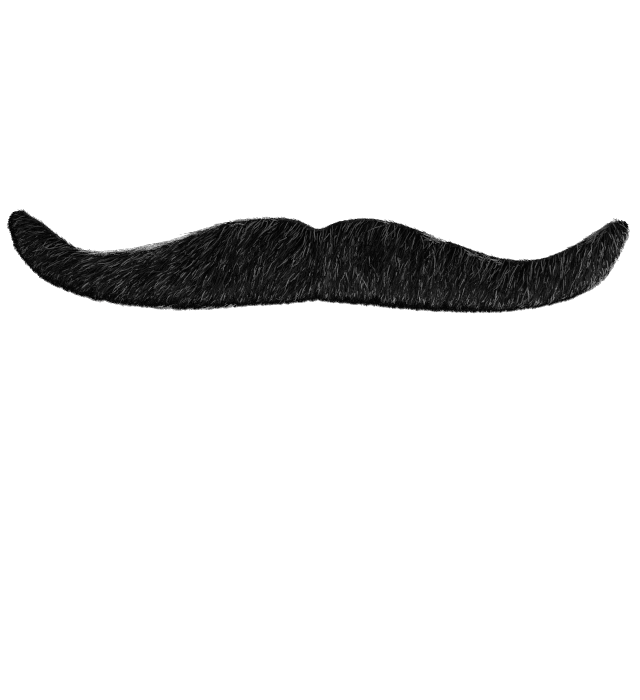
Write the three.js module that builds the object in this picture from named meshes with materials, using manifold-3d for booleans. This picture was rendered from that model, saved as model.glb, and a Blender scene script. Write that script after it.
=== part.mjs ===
// A false moustache cut from black long-pile fur fabric: two wings that meet at a bridge under the
// nose and turn up at their tips. The pile is combed down over the cloth in overlapping locks, and a
// sticky strip under the cloth holds the moustache on.
//
// Millimetres. +X runs along the moustache to the right-hand tip, +Y up the face and +Z out of it,
// so that it lies on its sticky face with the hair upwards. The origin is on that face, in the middle
// of the bridge.
import * as THREE from "three";
import { mergeVertices } from "three/addons/utils/BufferGeometryUtils.js";
import Module from "manifold-3d";

// Layers, from the sticky face upwards
const STRIP_THICKNESS = 0.6;
const LAYER_GAP = 0.2; // keeps the strip and the cloth separate solids
const CLOTH_THICKNESS = 1.0;
const PILE_HEIGHT = 3.6; // the dense pile over the cloth, where a section is at its thickest

// Outline
const HAIR_OVERHANG = 0.12; // hair ends stand out past the dense pile by this much
const CLOTH_INSET = 0.8; // the cloth's cut edge, back from the hair ends
const STRIP_INSET = 2.4; // the strip's edge, back from the hair ends
const LEFT_TIP_REACH = 2.4; // the rounded end past the first section
const RIGHT_TIP_REACH = 2.4; // and past the last one
const TIP_TURNS = [70, 45, 20]; // degrees round each rounded end, from the tip inwards
const STRIP_TIP_GAP = 3; // outline stations left bare of strip at each tip
const STATIONS_PER_SECTION = 2;

// The moustache from tip to tip, a section for each row: the section's middle, how far it leans from
// upright (degrees anticlockwise), half its height, and the way that its hair lies (degrees from +X).
const SECTIONS = [
  { x: -74.8, y: 10.5, lean: -49, half: 3.5, comb: 205 },
  { x: -71.9, y: 6.6, lean: -44, half: 4.8, comb: 215 },
  { x: -67.2, y: 2.0, lean: -32, half: 5.5, comb: 215 },
  { x: -61.2, y: -1.4, lean: -19, half: 5.4, comb: 206 },
  { x: -54.0, y: -2.9, lean: -6, half: 6.0, comb: 205 },
  { x: -46.0, y: -3.2, lean: -2, half: 7.0, comb: 216 },
  { x: -37.0, y: -2.6, lean: 0, half: 8.4, comb: 217 },
  { x: -28.2, y: -1.1, lean: 0, half: 9.9, comb: 232 },
  { x: -19.5, y: 0.2, lean: 0, half: 10.6, comb: 247 },
  { x: -11.5, y: 0.8, lean: 0, half: 10.7, comb: 241 },
  { x: -5.0, y: 0.7, lean: 0, half: 10.1, comb: 240 },
  { x: 0.0, y: -0.1, lean: 0, half: 8.8, comb: 260 },
  { x: 5.0, y: 0.6, lean: 0, half: 9.9, comb: 263 },
  { x: 12.0, y: 0.7, lean: 0, half: 10.6, comb: 264 },
  { x: 19.2, y: -0.4, lean: 0, half: 10.5, comb: 258 },
  { x: 28.0, y: -2.2, lean: 0, half: 9.3, comb: 256 },
  { x: 38.0, y: -4.1, lean: 0, half: 7.6, comb: 249 },
  { x: 47.0, y: -5.2, lean: 2, half: 6.4, comb: 253 },
  { x: 54.8, y: -4.7, lean: 12, half: 5.8, comb: 258 },
  { x: 61.8, y: -2.8, lean: 23, half: 5.8, comb: 260 },
  { x: 67.9, y: 0.8, lean: 32, half: 5.4, comb: 260 },
  { x: 73.0, y: 5.5, lean: 37, half: 4.2, comb: 265 },
  { x: 75.2, y: 8.6, lean: 43, half: 2.8, comb: 268 },
];

// The dense pile across a section, from the upper cut edge to the lower one: the place across as a
// share of half the section's height, and the height as a share of the pile's own.
const PILE_PROFILE = [
  { across: 1.0, height: 0.12 },
  { across: 0.82, height: 0.62 },
  { across: 0.5, height: 0.92 },
  { across: 0.05, height: 1.0 },
  { across: -0.5, height: 0.94 },
  { across: -0.84, height: 0.66 },
  { across: -1.0, height: 0.2 },
];
const FULL_PILE_HALF = 8; // sections narrower than this have a lower pile

// Locks of hair, in rows that follow the upper edge
const LOCK_LENGTH = 10.5;
const LOCK_WIDTH = 3.7;
const LOCK_THICKNESS = 2.0;
const LOCK_PITCH = 3.4; // from lock to lock along a row
const ROW_PITCH = 6.1; // from row to row
const FIRST_ROW = 0.4; // the first row's roots, below the upper edge
const LAST_ROW = 2.5; // the last roots are at least this far above the lower edge
const ROOT_SPREAD = 1.0; // by which roots stray from their row
const LENGTH_SPREAD = 0.16; // shares by which locks differ
const LIFT_SPREAD = 0.3;
const COMB_SPREAD = 7; // degrees

// A lock from root to tip: the place along it, and its width and thickness, as shares, and how far its
// middle lies above the dense pile.
const LOCK_RINGS = [
  { along: 0.0, size: 0.5, lift: -0.9 },
  { along: 0.34, size: 1.0, lift: 0.15 },
  { along: 0.7, size: 0.8, lift: 0.55 },
  { along: 1.0, size: 0.0, lift: 0.5 },
];

const CLOTH_BOTTOM = STRIP_THICKNESS + LAYER_GAP;
const CLOTH_TOP = CLOTH_BOTTOM + CLOTH_THICKNESS;
const ABOVE_THE_HAIR = CLOTH_TOP + 2 * PILE_HEIGHT;

const furMaterial = new THREE.MeshStandardMaterial({ color: 0x121212, roughness: 0.6, metalness: 0 });
const stripMaterial = new THREE.MeshStandardMaterial({ color: 0xe6e1d3, roughness: 0.5, metalness: 0 });

const wasm = await Module();
wasm.setup();

const { degToRad, lerp } = THREE.MathUtils;

// A steady stand-in for chance, from -1 to 1, that differs from one count to the next.
function scatter(count, salt) {
  const wave = Math.sin(count * 12.9898 + salt * 78.233) * 43758.5453;
  return 2 * (wave - Math.floor(wave)) - 1;
}

// A section's direction from its lower edge to its upper one.
function ribDirection(lean) {
  return new THREE.Vector2(-Math.sin(degToRad(lean)), Math.cos(degToRad(lean)));
}

// A station of the outline, from the ends of its section line.
function station(upper, lower, comb) {
  const middle = upper.clone().add(lower).multiplyScalar(0.5);
  const rib = upper.clone().sub(lower);
  const half = rib.length() / 2;
  return { middle, rib: rib.normalize(), half, comb };
}

// The stations of a tip's rounded end, a half ellipse on its section, from the tip inwards.
function tipStations(section, reach, side) {
  const rib = ribDirection(section.lean);
  const axis = new THREE.Vector2(rib.y, -rib.x).multiplyScalar(side);
  return TIP_TURNS.map((turn) => {
    const middle = new THREE.Vector2(section.x, section.y);
    middle.addScaledVector(axis, reach * Math.sin(degToRad(turn)));
    return { middle, rib, half: section.half * Math.cos(degToRad(turn)), comb: section.comb };
  });
}

// A smooth curve along one edge of the sections: side is 1 for the upper edge and -1 for the lower one.
function edgeCurve(side) {
  const points = SECTIONS.map(({ x, y, lean, half }) => {
    const end = new THREE.Vector2(x, y).addScaledVector(ribDirection(lean), side * half);
    return new THREE.Vector3(end.x, end.y, 0);
  });
  return new THREE.CatmullRomCurve3(points);
}

// Every station from the left tip to the right one.
function outlineStations() {
  const upperEdge = edgeCurve(1);
  const lowerEdge = edgeCurve(-1);
  const gaps = SECTIONS.length - 1;
  const along = [];
  for (let step = 0; step <= gaps * STATIONS_PER_SECTION; step++) {
    const place = step / STATIONS_PER_SECTION;
    const left = Math.min(Math.floor(place), gaps - 1);
    const comb = lerp(SECTIONS[left].comb, SECTIONS[left + 1].comb, place - left);
    const upper = upperEdge.getPoint(place / gaps);
    const lower = lowerEdge.getPoint(place / gaps);
    along.push(station(new THREE.Vector2(upper.x, upper.y), new THREE.Vector2(lower.x, lower.y), comb));
  }
  const leftTip = tipStations(SECTIONS[0], LEFT_TIP_REACH, -1);
  const rightTip = tipStations(SECTIONS[gaps], RIGHT_TIP_REACH, 1);
  return [...leftTip, ...along, ...rightTip.reverse()];
}

// The point at a share across a station (1 at the upper edge, -1 at the lower), with both edges set in.
function across(at, share, inset) {
  const half = Math.max(at.half - inset, at.half * 0.3);
  return at.middle.clone().addScaledVector(at.rib, share * half);
}

// A closed outline of the stations, as a shape.
function outlineShape(stations, inset) {
  const upper = stations.map((at) => across(at, 1, inset));
  const lower = stations.map((at) => across(at, -1, inset));
  return new THREE.Shape([...lower, ...upper.reverse()]);
}

// A flat layer of an outline, from one height to another.
function layer(shape, bottom, top) {
  const geometry = new THREE.ExtrudeGeometry(shape, { depth: top - bottom, bevelEnabled: false });
  return geometry.translate(0, 0, bottom);
}

// A closed skin through rings of points that run anticlockwise as seen from ahead. Each end is closed
// on the ring's own middle, and an end ring may be a single point.
function skin(rings) {
  const points = [];
  const triangles = [];
  const numbered = rings.map((ring) => ring.map((point) => points.push(point) - 1));
  const close = (ring, turned) => {
    if (ring.length === 1) return;
    const middle = ring.reduce((sum, i) => sum.add(points[i]), new THREE.Vector3());
    const hub = points.push(middle.divideScalar(ring.length)) - 1;
    ring.forEach((a, i) => {
      const b = ring[(i + 1) % ring.length];
      triangles.push(...(turned ? [b, a, hub] : [a, b, hub]));
    });
  };
  for (let r = 0; r + 1 < numbered.length; r++) {
    const [near, far] = [numbered[r], numbered[r + 1]];
    const sides = Math.max(near.length, far.length);
    for (let i = 0; i < sides; i++) {
      const [a, b] = [near[i % near.length], near[(i + 1) % near.length]];
      const [c, d] = [far[i % far.length], far[(i + 1) % far.length]];
      if (a !== b) triangles.push(a, b, d);
      if (c !== d) triangles.push(a, d, c);
    }
  }
  close(numbered[0], true);
  close(numbered[numbered.length - 1], false);
  return new THREE.BufferGeometry().setFromPoints(points).setIndex(triangles);
}

function solidOf(geometry) {
  const bare = geometry.clone().deleteAttribute("normal").deleteAttribute("uv");
  const merged = mergeVertices(bare);
  const vertProperties = new Float32Array(merged.getAttribute("position").array);
  const triVerts = new Uint32Array(merged.index.array);
  return new wasm.Manifold(new wasm.Mesh({ numProp: 3, vertProperties, triVerts }));
}

// The largest body of a solid, without the pockets that its locks may have shut in.
function geometryOf(solid) {
  const bodies = solid.decompose().sort((a, b) => b.volume() - a.volume());
  const mesh = bodies[0].getMesh();
  const geometry = new THREE.BufferGeometry();
  geometry.setAttribute("position", new THREE.BufferAttribute(mesh.vertProperties, 3));
  geometry.setIndex(new THREE.BufferAttribute(mesh.triVerts, 1));
  geometry.computeVertexNormals();
  return geometry;
}

// The pile's own height at a station: narrow sections lie lower.
function pileHeight(at) {
  return PILE_HEIGHT * Math.sqrt(Math.min(1, at.half / FULL_PILE_HALF));
}

// The dense pile's top at a share across a station.
function profileHeight(share) {
  const next = PILE_PROFILE.findIndex((row) => row.across <= share);
  if (next === 0) return PILE_PROFILE[0].height;
  if (next < 0) return PILE_PROFILE[PILE_PROFILE.length - 1].height;
  const [above, below] = [PILE_PROFILE[next - 1], PILE_PROFILE[next]];
  const part = (above.across - share) / (above.across - below.across);
  return lerp(above.height, below.height, part);
}

// The dense pile's top over any point, read at the station that lies nearest.
function pileTop(point, stations) {
  const gap = (at) => at.middle.distanceToSquared(point);
  const at = stations.reduce((best, other) => (gap(other) < gap(best) ? other : best));
  const share = point.clone().sub(at.middle).dot(at.rib) / at.half;
  return CLOTH_TOP + pileHeight(at) * profileHeight(share);
}

// The cloth and the dense pile that stands on it, as one skin over all stations.
function denseFur(stations) {
  const place = (point, z) => new THREE.Vector3(point.x, point.y, z);
  const rings = stations.map((at) => [
    place(across(at, -1, CLOTH_INSET), CLOTH_BOTTOM),
    place(across(at, 1, CLOTH_INSET), CLOTH_BOTTOM),
    ...PILE_PROFILE.map((row) =>
      place(across(at, row.across, HAIR_OVERHANG), CLOTH_TOP + pileHeight(at) * row.height),
    ),
  ]);
  return skin(rings);
}

// One lock: a blade of four sides that leaves the pile at its root and lies along the comb.
function lock(root, comb, length, lift, stations) {
  const ahead = new THREE.Vector2(Math.cos(comb), Math.sin(comb));
  const aside = new THREE.Vector3(-ahead.y, ahead.x, 0);
  const up = new THREE.Vector3(0, 0, 1);
  const rings = LOCK_RINGS.map((row) => {
    const flat = root.clone().addScaledVector(ahead, row.along * length);
    const above = pileTop(flat, stations) + row.lift * (row.lift > 0 ? lift : 1);
    const z = Math.max(above, CLOTH_TOP);
    const middle = new THREE.Vector3(flat.x, flat.y, z);
    if (row.size === 0) return [middle];
    const wide = (row.size * LOCK_WIDTH) / 2;
    const thick = (row.size * LOCK_THICKNESS) / 2;
    return [
      middle.clone().addScaledVector(up, -thick),
      middle.clone().addScaledVector(aside, wide),
      middle.clone().addScaledVector(up, thick),
      middle.clone().addScaledVector(aside, -wide),
    ];
  });
  return skin(rings);
}

// The station at a distance along the middle line from the left tip, blended from its two neighbours.
function stationAt(stations, distance) {
  let walked = 0;
  for (let i = 1; i < stations.length; i++) {
    const [from, to] = [stations[i - 1], stations[i]];
    const gap = from.middle.distanceTo(to.middle);
    if (walked + gap > distance) {
      const part = (distance - walked) / gap;
      return {
        middle: from.middle.clone().lerp(to.middle, part),
        rib: from.rib.clone().lerp(to.rib, part).normalize(),
        half: lerp(from.half, to.half, part),
        comb: lerp(from.comb, to.comb, part),
      };
    }
    walked += gap;
  }
  return null;
}

// Every lock of the pile: rows below the upper edge, each staggered by half a pitch from the last.
function locks(stations) {
  const made = [];
  const widest = Math.max(...stations.map((at) => 2 * at.half));
  for (let row = 0; FIRST_ROW + row * ROW_PITCH < widest; row++) {
    const depth = FIRST_ROW + row * ROW_PITCH;
    let distance = LOCK_PITCH * (row % 2 ? 0.5 : 1);
    for (let at = stationAt(stations, distance); at; at = stationAt(stations, distance)) {
      distance += LOCK_PITCH;
      if (depth > 2 * at.half - LAST_ROW) continue;
      const count = made.length;
      const drop = at.half - depth - ROOT_SPREAD * scatter(count, 4);
      const root = at.middle.clone().addScaledVector(at.rib, drop);
      const comb = degToRad(at.comb + COMB_SPREAD * scatter(count, 1));
      const length = LOCK_LENGTH * (1 + LENGTH_SPREAD * scatter(count, 2));
      const lift = 1 + LIFT_SPREAD * scatter(count, 3);
      made.push(lock(root, comb, length, lift, stations));
    }
  }
  return made;
}

// The fur: cloth, dense pile and locks in one body, cut along the outline as the fabric is.
function fur(stations) {
  const cutter = solidOf(layer(outlineShape(stations, 0), CLOTH_BOTTOM - LAYER_GAP, ABOVE_THE_HAIR));
  const joined = locks(stations).reduce(
    (whole, geometry) => whole.add(solidOf(geometry)),
    solidOf(denseFur(stations)),
  );
  const mesh = new THREE.Mesh(geometryOf(joined.intersect(cutter)), furMaterial);
  mesh.name = "fur";
  return mesh;
}

// The sticky strip under the cloth, short of the tips and set back from the edges.
function adhesiveStrip(stations) {
  const held = stations.slice(STRIP_TIP_GAP, -STRIP_TIP_GAP);
  const mesh = new THREE.Mesh(layer(outlineShape(held, STRIP_INSET), 0, STRIP_THICKNESS), stripMaterial);
  mesh.name = "adhesive_strip";
  return mesh;
}

const stations = outlineStations();
const moustache = new THREE.Group();
moustache.add(fur(stations), adhesiveStrip(stations));

export default moustache;
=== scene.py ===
"""The looks of a false moustache: black combed hair on a knitted cloth, with a sticky strip under it."""

import logging
import math
from collections.abc import Mapping, Sequence
from dataclasses import dataclass, fields
from enum import Enum
from typing import Any

import bpy
import numpy as np
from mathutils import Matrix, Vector


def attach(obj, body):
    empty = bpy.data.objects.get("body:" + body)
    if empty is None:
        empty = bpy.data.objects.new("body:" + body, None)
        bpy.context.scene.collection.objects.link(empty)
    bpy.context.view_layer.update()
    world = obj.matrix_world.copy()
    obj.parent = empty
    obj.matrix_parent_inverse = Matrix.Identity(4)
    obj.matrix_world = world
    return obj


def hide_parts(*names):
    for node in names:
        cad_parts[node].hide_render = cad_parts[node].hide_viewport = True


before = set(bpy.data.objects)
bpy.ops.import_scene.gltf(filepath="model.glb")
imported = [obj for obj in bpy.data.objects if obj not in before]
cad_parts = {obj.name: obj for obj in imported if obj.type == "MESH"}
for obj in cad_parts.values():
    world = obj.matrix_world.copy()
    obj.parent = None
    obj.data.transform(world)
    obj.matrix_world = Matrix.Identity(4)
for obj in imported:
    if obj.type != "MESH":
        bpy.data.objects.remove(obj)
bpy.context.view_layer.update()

LOG = logging.getLogger("moustache")
MM = 0.001
BODY = "root"
FUR_NODE = "fur"
STRIP_NODE = "adhesive_strip"
SHADES = 24  # steps from the darkest hair to the palest
FLOAT = "NodeSocketFloat"
COLOR = "NodeSocketColor"
GEOMETRY = "NodeSocketGeometry"

Socket = bpy.types.NodeSocket
Feeds = Mapping[str | int, Any]
Tint = tuple[float, float, float]
Row = tuple[float, float]  # a place, and a quantity there
# X, and a quantity in the middle of the fur, at its upper edge and at its lower one
AcrossRow = tuple[float, float, float, float]


class Wing(Enum):
    """The two halves of the moustache as seen from the front, by their side of the bridge."""

    LEFT = -1
    RIGHT = 1


class Edge(Enum):
    """The two long edges of the moustache, by the share across at which they lie."""

    UPPER = 1
    LOWER = -1


def clamped(value: float) -> float:
    """A number, kept from 0 to 1."""
    return min(1.0, max(0.0, value))


def cross(one: np.ndarray, other: np.ndarray) -> np.ndarray:
    """The cross products of flat vectors."""
    return one[..., 0] * other[..., 1] - one[..., 1] * other[..., 0]


def read_table(rows: Sequence[Row], place: float) -> float:
    """The quantity at a place, on straight lines between a table's rows."""
    return float(np.interp(place, *np.transpose(rows)))


def read_across(rows: Sequence[AcrossRow], x: float, share: float) -> float:
    """The quantity at a place along X and a share across, on straight lines between a table's rows."""
    places, *parts = np.transpose(rows)
    middle, upper, lower = (np.interp(x, places, part) for part in parts)
    return float(np.interp(share, (-1, 0, 1), (lower, middle, upper)))


@dataclass(frozen=True)
class Section:
    """A line across the moustache: its middle and half height in mm, its lean and comb in degrees."""

    x: float
    y: float
    lean: float
    half: float
    comb: float

    def ends(self) -> list[float]:
        """The ends of the line, and the comb.

        Returns:
            X and Y of the upper end and of the lower one, then the comb.
        """
        turn = math.radians(self.lean)
        rib = self.half * np.array([-math.sin(turn), math.cos(turn)])
        middle = np.array([self.x, self.y])
        return [*(middle + rib), *(middle - rib), self.comb]


# The moustache from its left tip to its right one
SECTIONS: tuple[Section, ...] = (
    Section(-74.8, 10.4, -49, 3.05, 205),
    Section(-71.9, 6.6, -44, 4.8, 215),
    Section(-67.2, 2.0, -32, 5.5, 215),
    Section(-61.2, -1.4, -19, 5.4, 206),
    Section(-54.0, -2.8, -6, 6.1, 205),
    Section(-46.0, -3.05, -2, 7.15, 216),
    Section(-37.0, -2.6, 0, 8.4, 217),
    Section(-28.2, -1.1, 0, 9.9, 232),
    Section(-19.5, 0.3, 0, 10.7, 247),
    Section(-11.5, 0.8, 0, 10.7, 241),
    Section(-5.0, 0.7, 0, 10.1, 240),
    Section(0.0, -0.1, 0, 8.8, 260),
    Section(5.0, 0.5, 0, 10.0, 263),
    Section(12.0, 0.6, 0, 10.7, 264),
    Section(19.2, -0.3, 0, 10.6, 258),
    Section(28.0, -2.1, 0, 9.4, 256),
    Section(38.0, -4.1, 0, 7.8, 249),
    Section(47.0, -5.2, 2, 6.4, 253),
    Section(54.8, -4.7, 12, 5.8, 258),
    Section(61.8, -2.8, 23, 5.8, 260),
    Section(68.0, 0.6, 32, 5.6, 260),
    Section(72.9, 5.7, 37, 4.0, 265),
    Section(75.2, 8.6, 43, 2.8, 268),
)


@dataclass(frozen=True)
class Station:
    """A place along the moustache, in mm: the middle and the way of the line across it, and the comb."""

    middle: np.ndarray
    rib: np.ndarray
    half: float
    comb: float
    deepest_inset: float = 0.5  # of an edge, as a share of the half height

    def across(self, share: float, upper: float = 0.0, lower: float = 0.0) -> np.ndarray:
        """The point at a share across, from 1 at the upper edge to -1 at the lower one.

        Args:
            share: Where it is across.
            upper: How far the upper edge is set in.
            lower: How far the lower edge is set in.

        Returns:
            The point.
        """
        most = self.deepest_inset * self.half
        top = self.half - min(upper, most)
        foot = min(lower, most) - self.half
        return self.middle + (foot + (share + 1) / 2 * (top - foot)) * self.rib


@dataclass(frozen=True)
class Spot:
    """A place on the fur: a station, and the share across it."""

    at: Station
    share: float

    @property
    def place(self) -> np.ndarray:
        """Its X and Y in mm."""
        return self.at.across(self.share)

    @property
    def edge(self) -> Edge:
        """The nearer edge."""
        return Edge.UPPER if self.share > 0 else Edge.LOWER

    def depth(self, edge: Edge) -> float:
        """How far inside an edge it is, in mm."""
        return (1 - edge.value * self.share) * self.at.half


@dataclass(frozen=True)
class Outline:
    """The cut edge of the fur fabric, worked out from the sections, in mm."""

    left_reach: float = 2.6  # of the rounded ends, past the last sections
    left_skew: float = 0.15  # of the left end, towards its upper side
    right_reach: float = 2.4
    tip_turns: tuple[float, ...] = (80, 64, 48, 32, 16)
    steps: int = 6
    least_crossing: float = 1e-9  # below it, two lines count as parallel
    least_room: float = 1e-6  # below it, a point counts as on the edge

    def stations(self) -> list[Station]:
        """Every station from the left tip to the right one, with the rounded ends of both.

        Returns:
            The stations.
        """
        made = []
        for row in self._smooth(np.array([section.ends() for section in SECTIONS])):
            upper, lower = row[0:2], row[2:4]
            half = float(np.linalg.norm(upper - lower)) / 2
            made.append(Station((upper + lower) / 2, (upper - lower) / (2 * half), half, float(row[4])))
        return [*self._tip(made[0], -1), *made, *reversed(self._tip(made[-1], 1))]

    def _smooth(self, rows: np.ndarray) -> np.ndarray:
        """A Catmull-Rom curve through rows of numbers.

        Args:
            rows: The numbers at each section.

        Returns:
            The numbers at each station.
        """
        padded = np.vstack([2 * rows[0] - rows[1], rows, 2 * rows[-1] - rows[-2]])
        made = []
        for i in range(1, len(padded) - 2):
            before, start, end, after = padded[i - 1:i + 3]
            for step in range(self.steps):
                t = step / self.steps
                made.append(
                    start
                    + 0.5 * t * (end - before)
                    + t * t * (before - 2.5 * start + 2 * end - 0.5 * after)
                    + 0.5 * t ** 3 * (3 * start - before - 3 * end + after)
                )
        return np.array([*made, rows[-1]])

    def _tip(self, end: Station, side: int) -> list[Station]:
        """The stations of a tip's rounded end, from the tip inwards.

        Args:
            end: The last station before the tip.
            side: -1 for the left tip, 1 for the right one.

        Returns:
            The stations of a half ellipse on that last one.
        """
        axis = side * np.array([end.rib[1], -end.rib[0]])
        reach = self.right_reach
        if side < 0:
            reach = self.left_reach
            axis = axis + self.left_skew * end.rib
        made = []
        for turn in np.radians(self.tip_turns):
            middle = end.middle + reach * math.sin(turn) * axis
            made.append(Station(middle, end.rib, end.half * math.cos(turn), end.comb))
        return made

    def polygon(self) -> np.ndarray:
        """The whole edge, anticlockwise from the left tip."""
        stations = self.stations()
        return np.array([*(at.across(-1) for at in stations), *(at.across(1) for at in reversed(stations))])

    def room(self, points: np.ndarray, headings: np.ndarray) -> np.ndarray:
        """How far each point is from the edge, the way that its hair lies.

        Args:
            points: Places on the cloth.
            headings: Unit vectors of the hair's way there.

        Returns:
            The distances.
        """
        start = self.polygon()
        edge = (np.roll(start, -1, axis=0) - start)[None]
        away = start[None] - points[:, None]
        ahead = headings[:, None]
        crossing = cross(ahead, edge)
        crossing = np.where(np.abs(crossing) < self.least_crossing, self.least_crossing, crossing)
        distance = cross(away, edge) / crossing
        place = cross(away, ahead) / crossing
        hits = (place >= 0) & (place <= 1) & (distance > self.least_room)
        nearest = np.where(hits, distance, np.inf).min(axis=1)
        return np.where(np.isfinite(nearest), nearest, 0.0)


class Value:
    """What a node puts out. A sum of such values is written as a sum, and makes the nodes for it."""

    def __init__(self, graph: "Graph", socket: Socket) -> None:
        """Takes an output of one of a graph's nodes."""
        self.graph = graph
        self.socket = socket
        self.is_vector = socket.type in ("VECTOR", "RGBA")

    def _with(self, operation: str, other: Any) -> "Value":
        """A sum of this and another number, or of this and another vector."""
        return (self.graph.vector if self.is_vector else self.graph.math)(operation, self, other)

    def __add__(self, other: Any) -> "Value":
        """Both together."""
        return self._with("ADD", other)

    def __sub__(self, other: Any) -> "Value":
        """This less the other."""
        return self._with("SUBTRACT", other)

    def __rsub__(self, other: float) -> "Value":
        """A plain number less this."""
        return self.graph.math("SUBTRACT", other, self)

    def __mul__(self, other: Any) -> "Value":
        """This, which may be a vector, times a number."""
        return self.graph.scaled(self, other) if self.is_vector else self._with("MULTIPLY", other)

    def __truediv__(self, other: Any) -> "Value":
        """This over the other."""
        return self._with("DIVIDE", other)

    def __pow__(self, other: Any) -> "Value":
        """This to the power of the other."""
        return self._with("POWER", other)

    def __lt__(self, other: Any) -> "Value":
        """1 where this is less than the other, and 0 elsewhere."""
        return self._with("LESS_THAN", other)

    def __gt__(self, other: Any) -> "Value":
        """1 where this is more than the other, and 0 elsewhere."""
        return self._with("GREATER_THAN", other)


class Graph:
    """Makes and links the nodes of one tree."""

    def __init__(
        self,
        tree: bpy.types.NodeTree,
        inputs: Mapping[str, str] | None = None,
        outputs: Mapping[str, str] | None = None,
    ) -> None:
        """Takes a tree, and gives a group its sockets.

        Args:
            tree: The tree, with no nodes yet.
            inputs: Names and types of a group's inputs.
            outputs: Names and types of a group's outputs.
        """
        self.tree = tree
        for name, kind in (inputs or {}).items():
            tree.interface.new_socket(name, in_out="INPUT", socket_type=kind)
        for name, kind in (outputs or {}).items():
            tree.interface.new_socket(name, in_out="OUTPUT", socket_type=kind)
        self.entry = tree.nodes.new("NodeGroupInput") if inputs else None

    @staticmethod
    def pick(sockets: Sequence[Socket], key: str | int) -> Socket:
        """The socket with a number, or the one in use that has a name."""
        named = (socket for socket in sockets if socket.enabled and socket.name == key)
        return sockets[key] if isinstance(key, int) else next(named)

    def inlet(self, name: str) -> Value:
        """A group's own input, as a value for its nodes."""
        return Value(self, self.pick(self.entry.outputs, name))

    def node(self, kind: str, feeds: Feeds | None = None, **settings: Any) -> bpy.types.Node:
        """Adds a node.

        Args:
            kind: Blender's name for the kind of node.
            feeds: What goes into its inputs: other nodes' values, or plain ones.
            settings: The node's own properties.

        Returns:
            The node.
        """
        node = self.tree.nodes.new(kind)
        for name, value in settings.items():
            setattr(node, name, value)
        for key, value in (feeds or {}).items():
            self.feed(node, key, value)
        return node

    def feed(self, node: bpy.types.Node, key: str | int, value: Any) -> None:
        """Links a value to a node's input, or sets the input to a plain one.

        Args:
            node: The node.
            key: The input's name or number.
            value: The other node's value, or the plain one.
        """
        socket = self.pick(node.inputs, key)
        if isinstance(value, Value):
            self.tree.links.new(value.socket, socket)
        else:
            socket.default_value = value

    def outputs(self, node: bpy.types.Node) -> dict[str, Value]:
        """What a node puts out, by name."""
        return {socket.name: Value(self, socket) for socket in node.outputs if socket.enabled}

    def out(self, kind: str, feeds: Feeds | None = None, key: str | int = 0, **settings: Any) -> Value:
        """Adds a node and gives one of its outputs."""
        return Value(self, self.pick(self.node(kind, feeds, **settings).outputs, key))

    def math(self, operation: str, *values: Any) -> Value:
        """A sum of numbers."""
        return self.out("ShaderNodeMath", dict(enumerate(values)), operation=operation)

    def vector(self, operation: str, *values: Any) -> Value:
        """A sum of vectors."""
        return self.out("ShaderNodeVectorMath", dict(enumerate(values)), operation=operation)

    def scaled(self, vector: Value, factor: Any) -> Value:
        """A vector times a number."""
        return self.out("ShaderNodeVectorMath", {"Vector": vector, "Scale": factor}, operation="SCALE")

    def joined(self, *parts: Any) -> Value:
        """A vector of up to three numbers."""
        return self.out("ShaderNodeCombineXYZ", dict(enumerate(parts)))

    def either_way(self, chance: Value) -> Value:
        """A chance from 0 to 1, as a number from -1 to 1."""
        return chance * 2.0 - 1.0

    def spread(self, middle: Value, share: Any, chance: Value) -> Value:
        """A number that strays from its middle by up to a share of it, either way."""
        return middle * (self.either_way(chance) * share + 1.0)

    def noise(self, place: Value, scale: Any, detail: float = 1.0) -> Value:
        """Smooth noise at a place, from 0 to 1."""
        return self.out("ShaderNodeTexNoise", {"Vector": place, "Scale": scale, "Detail": detail})

    def ramp(self, value: Value, start: Sequence[Any], end: Sequence[Any], **settings: Any) -> Value:
        """A number that is mapped from one range to another."""
        feeds = zip(("Value", "From Min", "From Max", "To Min", "To Max"), (value, *start, *end))
        return self.out("ShaderNodeMapRange", dict(feeds), "Result", **settings)

    def mix(self, share: Value, dark: Value, pale: Value) -> Value:
        """A colour between a dark and a pale one."""
        feeds = {"Factor": share, "A": dark, "B": pale}
        return self.out("ShaderNodeMix", feeds, "Result", data_type="RGBA")


STRAND_LENGTHS = ("spacing", "length", "radius", "wave", "lock_size", "arch", "fuzz", "bevel", "crimp")
STRAND_TURNS = ("comb_spread", "stray_turn", "lock_turn")
STRAND_UNITS = {
    "density": 1 / (MM * MM),
    **dict.fromkeys(STRAND_LENGTHS, MM),
    **dict.fromkeys(STRAND_TURNS, math.radians(1)),
}


@dataclass(frozen=True, kw_only=True)
class Strands:
    """One kind of hair. Lengths are in mm, turns in degrees, and layers in shares of the pile's height."""

    name: str
    seed: int
    density: float  # roots to a square millimetre, before those too near to others are left out
    spacing: float = 0.0  # the least distance between roots
    segments: int = 3
    length: float
    length_spread: float = 0.5
    radius: float
    lowest: float
    highest: float
    comb_spread: float
    stray_share: float
    stray_turn: float
    bend: float  # sideways, as a share of the length
    wave: float = 0.15
    lock_size: float
    gather: float  # how far the tips of a lock draw together, as a share
    lock_turn: float
    arch: float = 0.2
    fuzz: float = 0.3  # unevenness of the cut ends
    bevel: float = 0.0  # how far short of the edge the top layer is cut
    shade_power: float  # the larger, the fewer pale hairs
    tip_light: float = 0.0  # painted highlight on the tips of hairs that end at the cut: how much paler they are drawn
    crimp: float = 0.1  # up and down
    loose: float  # how much of what hangs over the edge stays there, as a share

    def inputs(self) -> dict[str, float]:
        """The named inputs of the strand tree, in metres and radians.

        Returns:
            The inputs' values by their names.
        """
        made = {}
        for field in fields(self)[1:]:
            label = field.name.replace("_", " ").title()
            made[label] = getattr(self, field.name) * STRAND_UNITS.get(field.name, 1)
        made["Lock Scale"] = 1 / made.pop("Lock Size")
        return made


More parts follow.
